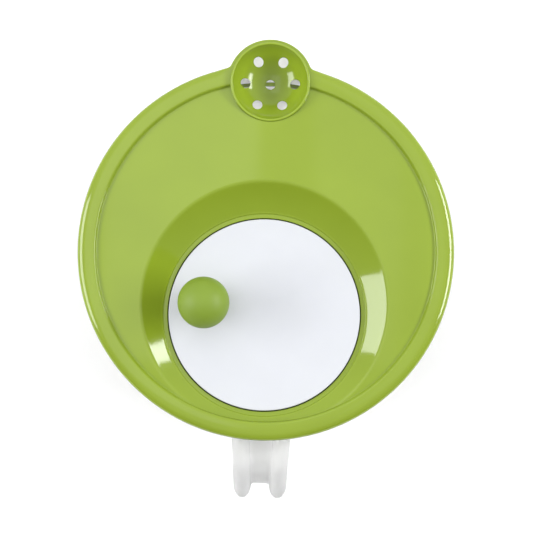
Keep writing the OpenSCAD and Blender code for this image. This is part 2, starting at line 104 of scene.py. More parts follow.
# Lid: gear chamber with its screw lugs, and the guide wall inside the bowl's rim
CHAMBER_R = DISC_R + 0.55
CHAMBER_OUT_R = CHAMBER_R + 2.3
SPLIT_Z = tray_high.z
GUIDE_OUT_R = RING_IN_R + 1.6
GUIDE_IN_R = GUIDE_OUT_R - 1.8
GUIDE_Z = lid_low.z + 0.5
STRAP_Z = 101.8
LUG_RHO, LUG_R, LUG_BORE_R = 52.0, 4.0, 1.35
LUG_ANGLES = (90, 210, 330)
LUGS_DIP = 1.1


# ---------------------------------------------------------------- small maths
def polar(centre, radius, degrees):
    angle = math.radians(degrees)
    return centre[0] + radius * math.cos(angle), centre[1] + radius * math.sin(angle)


def arc(centre, radius, start, end, steps):
    """Points of an arc from angle start to angle end, in degrees."""
    return [polar(centre, radius, start + (end - start) * i / steps) for i in range(steps + 1)]


def spread(low, high, steps):
    """Evenly spaced values from low to high, both included."""
    return [low + (high - low) * i / steps for i in range(steps + 1)]


def mix(a, b, t):
    return a + (b - a) * t


def smooth_step(x, low, high):
    t = min(1, max(0, (x - low) / (high - low)))
    return t * t * (3 - 2 * t)


def soft_min(a, b, k):
    """The smaller of a and b, with the corner between them rounded over k."""
    h = max(k - abs(a - b), 0) / k
    return min(a, b) - h * h * k / 4


def soft_max(a, b, k):
    return -soft_min(-a, -b, k)


# ---------------------------------------------------------------- mesh building
def make_object(name, points, faces, material):
    """A mesh object from points in millimetres."""
    mesh = bpy.data.meshes.new(name)
    mesh.from_pydata([(x * MM, y * MM, z * MM) for x, y, z in points], [], faces)
    mesh.materials.append(material)
    piece = bpy.data.objects.new(name, mesh)
    bpy.context.scene.collection.objects.link(piece)
    return piece


def grid_faces(rows, columns, start=0, loop_rows=False):
    """Quads between neighbouring rows of a grid whose columns close round."""
    faces = []
    for r in range(rows if loop_rows else rows - 1):
        low = start + r * columns
        high = start + (r + 1) % rows * columns
        for c in range(columns):
            d = (c + 1) % columns
            faces.append((low + c, low + d, high + d, high + c))
    return faces


def ring_faces(rings, steps):
    """Faces between neighbouring rings of points. A ring is given as its first point and its number of
    points: one on the axis, or steps."""
    faces = []
    for (low, low_n), (high, high_n) in zip(rings, rings[1:]):
        if low_n == high_n == 1:
            continue
        for c in range(steps):
            d = (c + 1) % steps
            if low_n == 1:
                faces.append((low, high + d, high + c))
            elif high_n == 1:
                faces.append((low + c, low + d, high))
            else:
                faces.append((low + c, low + d, high + d, high + c))
    return faces


def revolve(name, profile, centre, steps, material):
    """A closed shape of revolution. The profile runs from the axis round the section and back to the
    axis, or is a loop that stays clear of the axis."""
    on_axis = 1e-6
    points, rings = [], []
    for radius, z in profile:
        if radius < on_axis:
            ring = [(centre[0], centre[1], z)]
        else:
            ring = [polar(centre, radius, 360 * i / steps) + (z,) for i in range(steps)]
        rings.append((len(points), len(ring)))
        points += ring
    if profile[0][0] > on_axis:
        rings.append(rings[0])
    return make_object(name, points, ring_faces(rings, steps), material)


def turned(centre, angle, section):
    """Points of a section, given as radius and height, turned to an angle round a centre."""
    return [polar(centre, radius, angle) + (z,) for radius, z in section]


def sweep(name, sections, material):
    """A closed tube through sections, each a loop of points, with a flat cap at both ends."""
    count = len(sections[0])
    points = [p for section in sections for p in section]
    faces = grid_faces(len(sections), count)
    last = (len(sections) - 1) * count
    faces.append(tuple(reversed(range(count))))
    faces.append(tuple(range(last, last + count)))
    return make_object(name, points, faces, material)


def bake(piece):
    """Applies the modifiers to the mesh."""
    graph = bpy.context.evaluated_depsgraph_get()
    mesh = bpy.data.meshes.new_from_object(piece.evaluated_get(graph))
    piece.modifiers.clear()
    old = piece.data
    piece.data = mesh
    bpy.data.meshes.remove(old)


def combine(piece, tool, operation):
    """Adds tool to piece (UNION) or cuts it out (DIFFERENCE), and removes the tool."""
    modifier = piece.modifiers.new("combine", "BOOLEAN")
    modifier.operation = operation
    modifier.solver = "MANIFOLD"
    modifier.object = tool
    bake(piece)
    mesh = tool.data
    bpy.data.objects.remove(tool)
    bpy.data.meshes.remove(mesh)


def outward(piece):
    """Turns the faces outwards."""
    work = bmesh.new()
    work.from_mesh(piece.data)
    bmesh.ops.recalc_face_normals(work, faces=work.faces)
    work.to_mesh(piece.data)
    work.free()
    return piece


def shade(piece, angle=38):
    """Smooth shading with crisp corners, and flats that stay flat next to small roundings."""
    piece.data.shade_smooth()
    piece.data.set_sharp_from_angle(angle=math.radians(angle))
    modifier = piece.modifiers.new("weighted", "WEIGHTED_NORMAL")
    modifier.keep_sharp = True
    modifier.weight = 60
    return piece


def rod(radius, low, high, centre, edge=0.0, steps=48):
    """A plain round tool for cutting, or a boss with its edges rounded by edge."""
    if edge:
        profile = [(0, low)] + arc((radius - edge, low + edge), edge, -90, 0, 3)
        profile += arc((radius - edge, high - edge), edge, 0, 90, 3) + [(0, high)]
    else:
        profile = [(0, low), (radius, low), (radius, high), (0, high)]
    return outward(revolve("tool", profile, centre, steps, None))


def drill(piece, radius, low, high, centres, steps=48):
    for centre in centres:
        combine(piece, rod(radius, low, high, centre, steps=steps), "DIFFERENCE")


def around(centre, radius, angles):
    return [polar(centre, radius, angle) for angle in angles]


def paint(piece, look):
    """Leaves the piece with this one material."""
    piece.data.materials.clear()
    piece.data.materials.append(look)


def place(piece, body, slot, *nodes):
    """Hangs a finished piece on its body, in place of the CAD nodes it stands for."""
    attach(piece, body)
    if nodes:
        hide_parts(*nodes)
    return piece


# ---------------------------------------------------------------- materials
class Look:
    """A material with a Principled shader and short calls for the nodes that feed it."""

    def __init__(self, name, **values):
        self.material = bpy.data.materials.new(name)
        self.material.use_nodes = True
        self.nodes = self.material.node_tree.nodes
        self.links = self.material.node_tree.links
        self.shader = self.nodes["Principled BSDF"]
        self.coords = self.nodes.new("ShaderNodeTexCoord").outputs["Object"]
        self.normal = None
        for socket, value in values.items():
            self.shader.inputs[socket.replace("_", " ")].default_value = value

    def stretched(self, scale):
        node = self.nodes.new("ShaderNodeMapping")
        node.inputs["Scale"].default_value = scale
        self.links.new(self.coords, node.inputs["Vector"])
        return node.outputs["Vector"]

    def noise(self, size_mm, detail=3.0, roughness=0.5, stretch=None):
        node = self.nodes.new("ShaderNodeTexNoise")
        node.inputs["Scale"].default_value = 1 / (size_mm * MM)
        node.inputs["Detail"].default_value = detail
        node.inputs["Roughness"].default_value = roughness
        self.links.new(self.stretched(stretch) if stretch else self.coords, node.inputs["Vector"])
        return node.outputs["Fac"]

    def height_share(self, low_mm, high_mm):
        """0 at the lower height, 1 at the upper one."""
        node = self.nodes.new("ShaderNodeSeparateXYZ")
        self.links.new(self.coords, node.inputs["Vector"])
        return self.rescale(node.outputs["Z"], low_mm * MM, high_mm * MM, 0, 1)

    def cells(self, size_mm):
        node = self.nodes.new("ShaderNodeTexVoronoi")
        node.inputs["Scale"].default_value = 1 / (size_mm * MM)
        self.links.new(self.coords, node.inputs["Vector"])
        return node.outputs["Distance"]

    def rescale(self, value, low, high, out_low, out_high):
        node = self.nodes.new("ShaderNodeMapRange")
        numbers = (low, high, out_low, out_high)
        for socket, number in zip(("From Min", "From Max", "To Min", "To Max"), numbers):
            node.inputs[socket].default_value = number
        self.links.new(value, node.inputs["Value"])
        return node.outputs["Result"]

    def add(self, a, b):
        node = self.nodes.new("ShaderNodeMath")
        self.links.new(a, node.inputs[0])
        self.links.new(b, node.inputs[1])
        return node.outputs["Value"]

    def ramp(self, value, stops):
        node = self.nodes.new("ShaderNodeValToRGB")
        for element, (position, colour) in zip(node.color_ramp.elements, stops):
            element.position = position
            element.color = (*colour, 1)
        self.links.new(value, node.inputs["Fac"])
        return node.outputs["Color"]

    def feed(self, socket, value):
        self.links.new(value, self.shader.inputs[socket])

    def colour_drift(self, noise, dark, light):
        """A colour that drifts between two near shades with a noise."""
        self.feed("Base Color", self.ramp(noise, [(NOISE_LOW, dark), (NOISE_HIGH, light)]))

    def polish_drift(self, noise, low, high):
        """A roughness that drifts between two values with a noise."""
        self.feed("Roughness", self.rescale(noise, NOISE_LOW, NOISE_HIGH, low, high))

    def bump(self, value, strength, depth_mm):
        node = self.nodes.new("ShaderNodeBump")
        node.inputs["Strength"].default_value = strength
        node.inputs["Distance"].default_value = depth_mm * MM
        self.links.new(value, node.inputs["Height"])
        if self.normal:
            self.links.new(self.normal, node.inputs["Normal"])
        self.normal = node.outputs["Normal"]
        self.links.new(self.normal, self.shader.inputs["Normal"])


# Nearly all values of a noise lie between these two.
NOISE_LOW, NOISE_HIGH = 0.3, 0.7


def tinted(colour, factor):
    return tuple(min(1, c * factor) for c in colour)


def shades(colour, spread_by):
    """Two near shades of a colour, darker and lighter."""
    return tinted(colour, 1 - spread_by), tinted(colour, 1 + spread_by)


def gloss_plastic(name, colour, roughness, deep=None):
    """Polished moulded plastic: faint flow in the colour, a hint of orange peel, hair-fine wiping marks.
    With two heights given, painted shade darkens the colour low down between them, as in a deep shape, and
    painted light lifts it near the upper height."""
    wear, hair_wear = 0.03, 0.06
    look = Look(name, IOR=1.5, Subsurface_Weight=0.06, Subsurface_Scale=0.002,
                Subsurface_Radius=(1.0, 1.0, 0.35))
    if deep:
        # Painted shade and light: the base colour runs from 0.82 of the colour at the lower height to 1.1 of
        # it at the upper one, plus a faint random flow in the plastic.
        flow = look.rescale(look.noise(9, 2), NOISE_LOW, NOISE_HIGH, -0.08, 0.08)
        stops = [(0, tinted(colour, 0.82)), (1, tinted(colour, 1.1))]
        look.feed("Base Color", look.ramp(look.add(look.height_share(*deep), flow), stops))
    else:
        look.colour_drift(look.noise(38, 2), *shades(colour, 0.035))
    smears = look.rescale(look.noise(21, 4, 0.6), 0.35, 0.7, roughness, roughness + wear)
    hairs = look.rescale(look.noise(0.9, 2, 0.5, (1, 14, 1)), 0.63, 0.75, 0, hair_wear)
    look.feed("Roughness", look.add(smears, hairs))
    look.bump(look.noise(5.5, 2), 0.10, 0.05)
    look.bump(look.noise(0.5, 2), 0.02, 0.02)
    return look.material


def satin_plastic(name, colour, roughness, grain_mm=0.28, grain=0.12, tone=0.03):
    """Moulded plastic with a fine spark-eroded grain."""
    look = Look(name, IOR=1.5, Subsurface_Weight=0.05, Subsurface_Scale=0.0015,
                Subsurface_Radius=(1.0, 1.0, 0.6))
    look.colour_drift(look.noise(14, 3), *shades(colour, tone))
    look.polish_drift(look.noise(6, 3), roughness - 0.04, roughness + 0.05)
    look.bump(look.cells(grain_mm), grain, 0.03)
    return look.material


def frosted_plastic(name, grey, through):
    """Translucent polypropylene, etched so that what is behind it blurs."""
    look = Look(name, IOR=1.38, Transmission_Weight=through)
    look.colour_drift(look.noise(30, 3), *shades((grey, grey, grey), 0.03))
    look.polish_drift(look.noise(9, 3), 0.46, 0.56)
    look.bump(look.cells(0.3), 0.1, 0.02)
    look.bump(look.noise(12, 2), 0.05, 0.1)
    return look.material


def pad_rubber():
    look = Look("pad_rubber", IOR=1.45)
    look.colour_drift(look.noise(4, 5, 0.65), (0.40, 0.42, 0.43), (0.50, 0.52, 0.53))
    look.polish_drift(look.noise(2, 3), 0.66, 0.86)
    look.bump(look.noise(0.35, 4, 0.7), 0.35, 0.08)
    return look.material


def turned_steel():
    """Steel with the fine rings that turning leaves."""
    look = Look("turned_steel", Metallic=1.0, Anisotropic=0.35)
    look.colour_drift(look.noise(3, 3), (0.50, 0.51, 0.53), (0.63, 0.64, 0.66))
    rings = look.noise(0.9, 2, 0.6, (0.06, 0.06, 5))
    look.polish_drift(rings, 0.2, 0.36)
    look.bump(rings, 0.15, 0.01)
    return look.material


def pale_floor():
    look = Look("pale_floor", IOR=1.3, Specular_IOR_Level=0.1)
    look.colour_drift(look.noise(160, 2), (0.93, 0.93, 0.93), (0.96, 0.96, 0.96))
    look.polish_drift(look.noise(40, 2), 0.85, 0.95)
    look.bump(look.noise(1.5, 3), 0.05, 0.05)
    return look.material


GREEN = (0.235, 0.325, 0.021)
DARK_GREEN = (0.20, 0.29, 0.019)
KNOB_GREEN = (0.19, 0.285, 0.02)
COOL_WHITE = (0.597, 0.612, 0.652)
GEAR_CREAM = (0.74, 0.73, 0.67)
WHISK_WHITE = (0.78, 0.78, 0.76)
# Painted shade and light: the drip cup's colour darkens downwards between these two heights.
CUP_PAINTED_SHADE_HEIGHTS = (cup_low.z + 1, cup_low.z + 7)

lid_look = gloss_plastic("lid_plastic", GREEN, 0.07)
# The drip cup's base colour carries painted shade low in the cup and painted light near its top.
cup_look = gloss_plastic("cup_plastic", GREEN, 0.09, CUP_PAINTED_SHADE_HEIGHTS)
tray_look = satin_plastic("housing_plastic", DARK_GREEN, 0.3)
knob_look = satin_plastic("knob_plastic", KNOB_GREEN, 0.52, 0.22, 0.08)
disc_look = satin_plastic("disc_plastic", COOL_WHITE, 0.6, 0.22, 0.05, 0.01)
gear_look = satin_plastic("gear_plastic", GEAR_CREAM, 0.42, 0.35, 0.12)
whisk_look = satin_plastic("whisk_plastic", WHISK_WHITE, 0.36, 0.3, 0.08)
bowl_look = frosted_plastic("bowl_plastic", 0.93, 0.88)
handle_look = frosted_plastic("handle_plastic", 0.83, 0.7)
rubber_look = pad_rubber()
steel_look = turned_steel()


# ---------------------------------------------------------------- lid
def dome_height(x, y, top=DOME_Z, radius=DOME_R):
    return top - radius + math.sqrt(radius * radius - x * x - y * y)


def well_height(x, y):
    """Height of the well's wall, which gets a little steeper on its way up."""
    out = math.hypot(x - CRANK[0], y - CRANK[1]) - LEDGE_R
    return LEDGE_Z + out * (WELL_SLOPE + max(0, out) * WELL_BEND / 2)


def lid_top(x, y):
    """Height of the dome and of the well sunk in it, with a soft crease between them."""
    well = soft_max(LEDGE_Z, well_height(x, y), LEDGE_BLEND)
    return soft_min(well, dome_height(x, y), CREASE_BLEND)


def lid_under(x, y):
    """Height of the underside of the same wall."""
    drop = LID_WALL / math.cos(math.radians(WALL_TILT))
    under = dome_height(x, y, DOME_Z - LID_WALL, DOME_R - LID_WALL)
    return soft_min(well_height(x, y) - drop, under, UNDER_BLEND)


def lid_outline():
    """Columns of the lid's mesh, anticlockwise: the centre, radius and direction of each outline point,
    and whether its arc is hollow, as it is in the corner between rim and lobe."""
    far, near = LID_R + FILLET_R, LOBE_R + FILLET_R
    bend = math.degrees(math.acos((far * far + CUP[1] ** 2 - near * near) / (2 * far * CUP[1])))
    right = polar(AXIS, far, 90 - bend)
    lean = math.degrees(math.atan2(right[1] - CUP[1], right[0]))
    left = (-right[0], right[1])
    lobe_steps, fillet_steps, rim_steps = 52, 7, 300
    columns = [(AXIS, LID_R, a, 1) for a in spread(90 + bend, 450 - bend, rim_steps)[:-1]]
    columns += [(right, FILLET_R, a, -1) for a in spread(270 - bend, 180 + lean, fillet_steps)[:-1]]
    columns += [(CUP, LOBE_R, a, 1) for a in spread(lean, 180 - lean, lobe_steps)[:-1]]
    columns += [(left, FILLET_R, a, -1) for a in spread(-lean, -90 + bend, fillet_steps)[:-1]]
    return columns


def outline_point(column, inset):
    centre, radius, angle, side = column
    return polar(centre, radius - side * inset, angle)


def ring_fall(radius):
    """How far the raised ring's top falls away outwards."""
    return RING_FALL * max(0, min(radius, RING_FALL_END) - RING_FALL_R) ** 2


def lid_rows(column):
    """Points of one section through the lid's wall, as a closed loop: over the top from the chamber's
    mouth to the skirt's foot, and back along the underside."""
    edge = outline_point(column, 0)
    angle = math.degrees(math.atan2(edge[1], edge[0]))
    from_lobe = abs((angle - 90 + 180) % 360 - 180)
    off_lobe = smooth_step(from_lobe, *LOBE_EDGE)
    rows = ledge_rows(angle)
    rows += well_and_dome(polar(CRANK, LEDGE_R + 0.8, angle), polar(AXIS, RING_IN_R - RING_FOOT - 0.1, angle))
    rows += ring_rows(angle, off_lobe) + skirt_rows(column, off_lobe) + guide_rows(angle)
    return rows + under_rows(angle) + chamber_rows(angle)


def ledge_rows(angle):
    """The lowered ledge round the disc, with a rounded step up to the well's wall."""
    floor, edge, corner, step = LEDGE_Z - LEDGE_DROP, 0.2, 0.3, 0.4
    section = arc((CHAMBER_R + edge, floor - edge), edge, 180, 90, 3)
    section += arc((LEDGE_R - 0.75, floor + corner), corner, 270, 360, 4)
    section += arc((LEDGE_R - 0.05, LEDGE_Z - 0.38), step, 180, 105, 4)
    rows = turned(CRANK, angle, section)
    for point in (polar(CRANK, LEDGE_R + out, angle) for out in (0.15, 0.4)):
        rows.append(point + (lid_top(*point),))
    return rows


def ring_rows(angle, off_lobe):
    """The raised ring from its foot on the dome to the start of the lid's outer corner."""
    base = lid_top(*polar(AXIS, RING_IN_R - RING_FOOT, angle))
    crown = (RING_IN_R + 0.1 + RING_SHOULDER, RING_TOP - RING_SHOULDER)
    section = arc((RING_IN_R - RING_FOOT, base + RING_FOOT), RING_FOOT, -80, 0, 5)
    section += arc(crown, RING_SHOULDER, 176, 90, 7)
    section += [(radius, RING_TOP - ring_fall(radius) * off_lobe) for radius in RING_STATIONS]
    return turned(AXIS, angle, section)


def skirt_rows(column, off_lobe):
    """The outer corner, the skirt with its rounded foot, and the skirt's inner side up to the rim."""
    corner = mix(LOBE_CORNER, RIM_CORNER, off_lobe)
    section = []
    for bend in spread(90, 0, 9):
        inset = corner * (1 - math.cos(math.radians(bend)))
        fall = corner * (1 - math.sin(math.radians(bend))) + ring_fall(LID_R - inset) * off_lobe
        section.append((inset, RING_TOP - fall))
    section += [(0, 109.0), (0, 105.5), (0, SKIRT_Z + SKIRT_ROUND)]
    for bend in (30, 60, 90):
        turn, fall = 1 - math.cos(math.radians(bend)), 1 - math.sin(math.radians(bend))
        section.append((SKIRT_ROUND * turn, SKIRT_Z + SKIRT_ROUND * fall))
    section += [(SKIRT_T - 0.4, SKIRT_Z), (SKIRT_T - 0.1, SKIRT_Z + 0.12)]
    section += [(SKIRT_T, SKIRT_Z + 0.45), (SKIRT_T, SKIRT_Z + 5.0)]
    section += [(SKIRT_T, RING_UNDER - 0.5), (SKIRT_T + 0.15, RING_UNDER - 0.14), (SKIRT_T + 0.5, RING_UNDER)]
    return [outline_point(column, inset) + (z,) for inset, z in section]


def guide_rows(angle):
    """The guide wall that stands down inside the bowl's rim."""
    foot = 0.5
    section = [(GUIDE_OUT_R + 0.5, RING_UNDER), (GUIDE_OUT_R + 0.15, RING_UNDER - 0.14)]
    section += [(GUIDE_OUT_R, RING_UNDER - 0.5), (GUIDE_OUT_R, 105.0)]
    section += arc((GUIDE_OUT_R - foot, GUIDE_Z + foot), foot, 0, -90, 3)
    section += arc((GUIDE_IN_R + foot, GUIDE_Z + foot), foot, -90, -180, 3)
    return turned(AXIS, angle, section + [(GUIDE_IN_R, 103.0)])


def under_rows(angle):
    """The underside, from the guide wall to the gear chamber's wall, with rounded corners at both."""
    start, end = polar(AXIS, GUIDE_IN_R - 0.55, angle), polar(CRANK, CHAMBER_OUT_R + 0.55, angle)
    places = [(polar(AXIS, GUIDE_IN_R, angle), 0.6), (polar(AXIS, GUIDE_IN_R - 0.15, angle), 0.17)]
    places += [((mix(start[0], end[0], t), mix(start[1], end[1], t)), 0) for t in spread(0, 1, 18)]
    places += [(polar(CRANK, CHAMBER_OUT_R + 0.15, angle), 0.17), (polar(CRANK, CHAMBER_OUT_R, angle), 0.6)]
    return [point + (lid_under(*point) - drop,) for point, drop in places]


def chamber_rows(angle):
    """The gear chamber's wall, down its outer side and up its inner side."""
    foot = 0.4
    section = [(CHAMBER_OUT_R, 102.0)]
    section += arc((CHAMBER_OUT_R - foot, SPLIT_Z + foot), foot, 0, -90, 3)
    section += arc((CHAMBER_R + foot, SPLIT_Z + foot), foot, -90, -180, 3)
    return turned(CRANK, angle, section + [(CHAMBER_R, 103.0), (CHAMBER_R, 107.5)])


def well_and_dome(start, end):
    """Points up the well's wall, round the crease and over the dome, from start to end."""
    length = math.dist(start, end)

    def point(distance):
        t = distance / length
        return mix(start[0], end[0], t), mix(start[1], end[1], t)

    low, high = 0.0, length
    for _ in range(30):
        middle = (low + high) / 2
        if well_height(*point(middle)) < dome_height(*point(middle)):
            low = middle
        else:
            high = middle
    reach = 1.3
    crease = min(low, length * 0.82)
    before = crease - min(reach, 0.3 * crease)
    after = crease + min(reach, 0.5 * (length - crease))
    distances = spread(0, before, 8) + spread(before, after, 8)[1:] + spread(after, length, 20)[1:]
    return [point(d) + (lid_top(*point(d)),) for d in distances]


def cup_seat_rim():
    """The thin raised collar of the lobe, round the drip cup's seat."""
    inner, outer, edge = FLANGE_R - 1.4, FLANGE_R + 0.2, 0.2
    profile = [(inner, RING_UNDER + 0.4), (outer, RING_UNDER + 0.4)]
    profile += arc((outer - edge, RING_TOP - edge), edge, 0, 90, 3) + [(inner, RING_TOP)]
    return outward(revolve("tool", profile, CUP, 160, None))


def cup_seat_hole():
    """What is cut out for the drip cup: its seat, and the dome where it leans over the flange."""
    hole_r, seat_r, above = FLANGE_R - 0.4, FLANGE_R + 0.15, DOME_Z + 1
    profile = [(0, STRAP_Z), (hole_r, STRAP_Z), (hole_r, RING_TOP - 0.3)]
    profile += [(hole_r + 0.1, RING_TOP - 0.1), (hole_r + 0.3, RING_TOP)]
    profile += [(seat_r, RING_TOP), (seat_r, above), (0, above)]
    return outward(revolve("tool", profile, CUP, 160, None))


def lid_lug(centre):
    """Screw boss beside the gear chamber, its top following the well's wall."""
    points, steps = [], 48
    foot = ((LUG_R - 0.4, SPLIT_Z), (LUG_R - 0.1, SPLIT_Z + 0.15), (LUG_R, SPLIT_Z + 0.5), (LUG_R, 102.0))
    for radius, z in foot:
        points += [polar(centre, radius, 360 * i / steps) + (z,) for i in range(steps)]
    for i in range(steps):
        x, y = polar(centre, LUG_R, 360 * i / steps)
        points.append((x, y, lid_top(x, y) - LUGS_DIP))
    faces = grid_faces(len(foot) + 1, steps)
    faces.append(tuple(reversed(range(steps))))
    faces.append(tuple(range(len(foot) * steps, (len(foot) + 1) * steps)))
    return outward(make_object("tool", points, faces, None))


def build_lid():
    columns = lid_outline()
    sections = [lid_rows(column) for column in columns]
    rows = len(sections[0])
    points = [section[r] for r in range(rows) for section in sections]
    lid = make_object("lid_shell", points, grid_faces(rows, len(columns), loop_rows=True), lid_look)
    outward(lid)
    lugs = around(CRANK, LUG_RHO, LUG_ANGLES)
    combine(lid, cup_seat_rim(), "UNION")
    for centre in lugs:
        combine(lid, lid_lug(centre), "UNION")
    combine(lid, cup_seat_hole(), "DIFFERENCE")
    drill(lid, LUG_BORE_R, SPLIT_Z - 1, 105.3, lugs, 24)
    paint(lid, lid_look)
    return place(shade(lid), "lid", "lid_plastic", "lid")


# ---------------------------------------------------------------- drip cup
def dish(radius, low, high, steps):
    """Points of a round dish, from its middle at height low to the radius at height high."""
    bend_r = (radius * radius / (high - low) + high - low) / 2
    end = math.asin(radius / bend_r)
    return [(bend_r * math.sin(a), low + bend_r * (1 - math.cos(a))) for a in spread(0, end, steps)]


def build_cup():
    """A round dish with a flange, a rolled lip and seven holes."""
    top, flange_z = cup_high.z, RING_TOP + 0.15
    outer_r, wall, lip, edge, under = FLANGE_R - 0.7, 1.0, 0.6, 0.6, 0.4
    hole_r, pitch = 2.35, 11.9
    profile = dish(outer_r, cup_low.z, flange_z, 30)
    profile += arc((FLANGE_R - under, flange_z + under), under, -90, 0, 3)
    profile += arc((FLANGE_R - edge, top - edge), edge, 0, 90, 6)
    profile += arc((outer_r, top - lip), lip, 90, 180, 8)
    profile += dish(outer_r - lip, cup_low.z + wall, top - lip, 34)[-2::-1]
    cup = outward(revolve("oil_cup", profile, CUP, 180, cup_look))
    drill(cup, hole_r, cup_low.z - 1, top, [CUP] + around(CUP, pitch, range(0, 360, 60)), 64)
    soften_edges(cup, 0.16, 50)
    paint(cup, cup_look)
    return place(shade(cup, 45), "cup", "cup_plastic", "drip_cup")


def soften_edges(piece, width_mm, angle, segments=2):
    modifier = piece.modifiers.new("bevel", "BEVEL")
    modifier.width = width_mm * MM
    modifier.segments = segments
    modifier.limit_method = "ANGLE"
    modifier.angle_limit = math.radians(angle)
    modifier.use_clamp_overlap = True
    bake(piece)


# ---------------------------------------------------------------- crank disc and knob
def build_disc():
    """The white disc with its hub, blind bore, screw holes and the knob pin's stepped hole."""
    top, under, hub_r, bore_r, bore_top = disc_high.z, disc_high.z - 4, 9.0, 4.0, 104.5
    screw_r, screw_top, screw_pitch = 1.25, 109.2, 13.5
    pin_r, pin_head_r, pin_head = 3.0, 5.0, 1.6
    profile = [(0, bore_top)] + arc((bore_r - 0.4, bore_top - 0.4), 0.4, 90, 0, 3)
    profile += arc((bore_r + 0.4, disc_low.z + 0.4), 0.4, 180, 270, 3)
    profile += arc((hub_r - 0.5, disc_low.z + 0.5), 0.5, -90, 0, 3)
    profile += arc((hub_r + 0.6, under - 0.6), 0.6, 180, 90, 3)
    profile += arc((DISC_R - 0.4, under + 0.4), 0.4, -90, 0, 3)
    profile += arc((DISC_R - 0.5, top - 0.5), 0.5, 0, 90, 5)
    profile += [(r, top) for r in (44.2, 42, 36, 28, 20, 12, 5, 0)]
    disc = outward(revolve("disc", profile, CRANK, 256, disc_look))
    drill(disc, screw_r, under - 1, screw_top, around(CRANK, screw_pitch, (30, 150, 270)), 24)
    drill(disc, pin_r, under - 1, top + 1, [KNOB])
    drill(disc, pin_head_r, under - 1, under + pin_head, [KNOB])
    paint(disc, disc_look)
    return place(shade(disc), "crank", "disc_plastic", "crank_disc")


def build_knob():
    """Ball with a short flared neck, bored from below, with a groove for the snap ring in the bore."""
    centre_z, neck_z = knob_high.z - KNOB_R, knob_low.z
    neck_r, neck_round, blend_r = 7.0, 0.7, 1.6
    bore_r, bore_round, bore_top = 3.05, 0.4, centre_z + 3.0
    groove_r, groove_low, groove_high = 4.8, centre_z - 0.3, centre_z + 1.2
    joint = math.degrees(math.asin((neck_r + blend_r) / (KNOB_R + blend_r)))
    blend_z = centre_z - (KNOB_R + blend_r) * math.cos(math.radians(joint))
    profile = [(0, bore_top), (bore_r, bore_top), (bore_r, groove_high), (groove_r, groove_high)]
    profile += [(groove_r, groove_low), (bore_r, groove_low)]
    profile += arc((bore_r + bore_round, neck_z + bore_round), bore_round, 180, 270, 3)
    profile += arc((neck_r - neck_round, neck_z + neck_round), neck_round, -90, 0, 5)
    profile += arc((neck_r + blend_r, blend_z), blend_r, 180, 90 + joint, 6)
    profile += [(max(0, x), z) for x, z in arc((0, centre_z), KNOB_R, joint - 90, 90, 60)[1:]]
    knob = outward(revolve("ball_knob", profile, KNOB, 128, knob_look))
    return place(shade(knob), "knob", "knob_plastic", "crank_knob")


# ---------------------------------------------------------------- gear housing
def build_tray():
    """The tray that closes the gear chamber, with lugs, two bush bosses and ribs underneath."""
    floor, floor_top, wall_foot = 91.0, 93.3, 0.8
    boss_r, boss_top, boss_round, bush_r, bush_top = 9.0, 93.62, 0.8, 6.0, 99.0
    screw_r = 1.6
    profile = [(0, floor_top), (CHAMBER_R - wall_foot, floor_top)]
    profile += arc((CHAMBER_R - wall_foot, floor_top + wall_foot), wall_foot, -90, 0, 4)[1:]
    profile += arc((CHAMBER_R + 0.3, SPLIT_Z - 0.3), 0.3, 180, 90, 3)
    profile += arc((CHAMBER_OUT_R - 0.3, SPLIT_Z - 0.3), 0.3, 90, 0, 3)
    profile += arc((CHAMBER_OUT_R - 1.6, floor + 1.6), 1.6, 0, -90, 6)
    profile += [(0, floor)]
    tray = outward(revolve("gear_tray", profile, CRANK, 200, tray_look))
    lugs = around(CRANK, LUG_RHO, LUG_ANGLES)
    for centre in lugs:
        combine(tray, rod(LUG_R, floor + 0.02, SPLIT_Z - 0.02, centre, 0.4), "UNION")
    for centre in (AXIS, CRANK):
        combine(tray, rod(boss_r, tray_low.z, boss_top, centre, boss_round, 96), "UNION")
        drill(tray, bush_r, tray_low.z - 1, bush_top, [centre], 96)
    for angle in range(0, 360, 45):
        combine(tray, tray_rib(angle), "UNION")
    drill(tray, screw_r, floor - 1, SPLIT_Z + 1, lugs, 24)
    paint(tray, tray_look)
    return place(shade(tray), "lid", "housing_plastic", "gear_housing")


def tray_rib(angle):
    """Low stiffening rib under the tray, from the crank's boss to the wall."""
    half, low, high, end_foot, inner, outer = 0.7, 89.6, 91.5, 91.2, 8.4, 46.2
    across = polar(AXIS, half, angle + 90)
    points = []
    for radius, foot in ((inner, low), (outer - 3, low), (outer, end_foot)):
        x, y = polar(CRANK, radius, angle)
        for side in (-1, 1):
            for z in (foot, high):
                points.append((x + side * across[0], y + side * across[1], z))
    faces = [(0, 1, 3, 2), (8, 10, 11, 9)]
    for s in (0, 4):
        faces += [(s, s + 2, s + 6, s + 4), (s + 1, s + 5, s + 7, s + 3)]
        faces += [(s, s + 4, s + 5, s + 1), (s + 2, s + 3, s + 7, s + 6)]
    return outward(make_object("tool", points, faces, None))


# ---------------------------------------------------------------- bowl
# Bowl: flat floor, belly arc of radius BELLY_R up to BELLY_Z, then a wall that leans out to the neck
# under the rim's bead, and the foot that it stands on
FLOOR_R, BELLY_R, WALL = 40.0, 40.0, 2.0
FLOOR_Z = 5.5
BELLY_Z = FLOOR_Z + BELLY_R
BOWL_IN_R = LID_R - 6
NECK_R, NECK_Z = 86.0, 106.0
NECK_FLARE = ((86.3, 107.2), (87.0, 107.9), (87.5, 108.6))
BEAD_R, BEAD_Z, BEAD_ROUND, RIM_ROUND = LID_R - 2.4, 109.3, 0.9, 0.6
FOOT_R = 50.0
SPIGOT_R, SPIGOT_Z = 3.0, 12.9

# Spout: a cone whose wide end lies under the lobe
SPOUT_R = LOBE_R - SKIRT_T - 0.3
SPOUT_TIP_R, SPOUT_DEPTH, SPOUT_WALL = 1.6, 32.0, 1.5


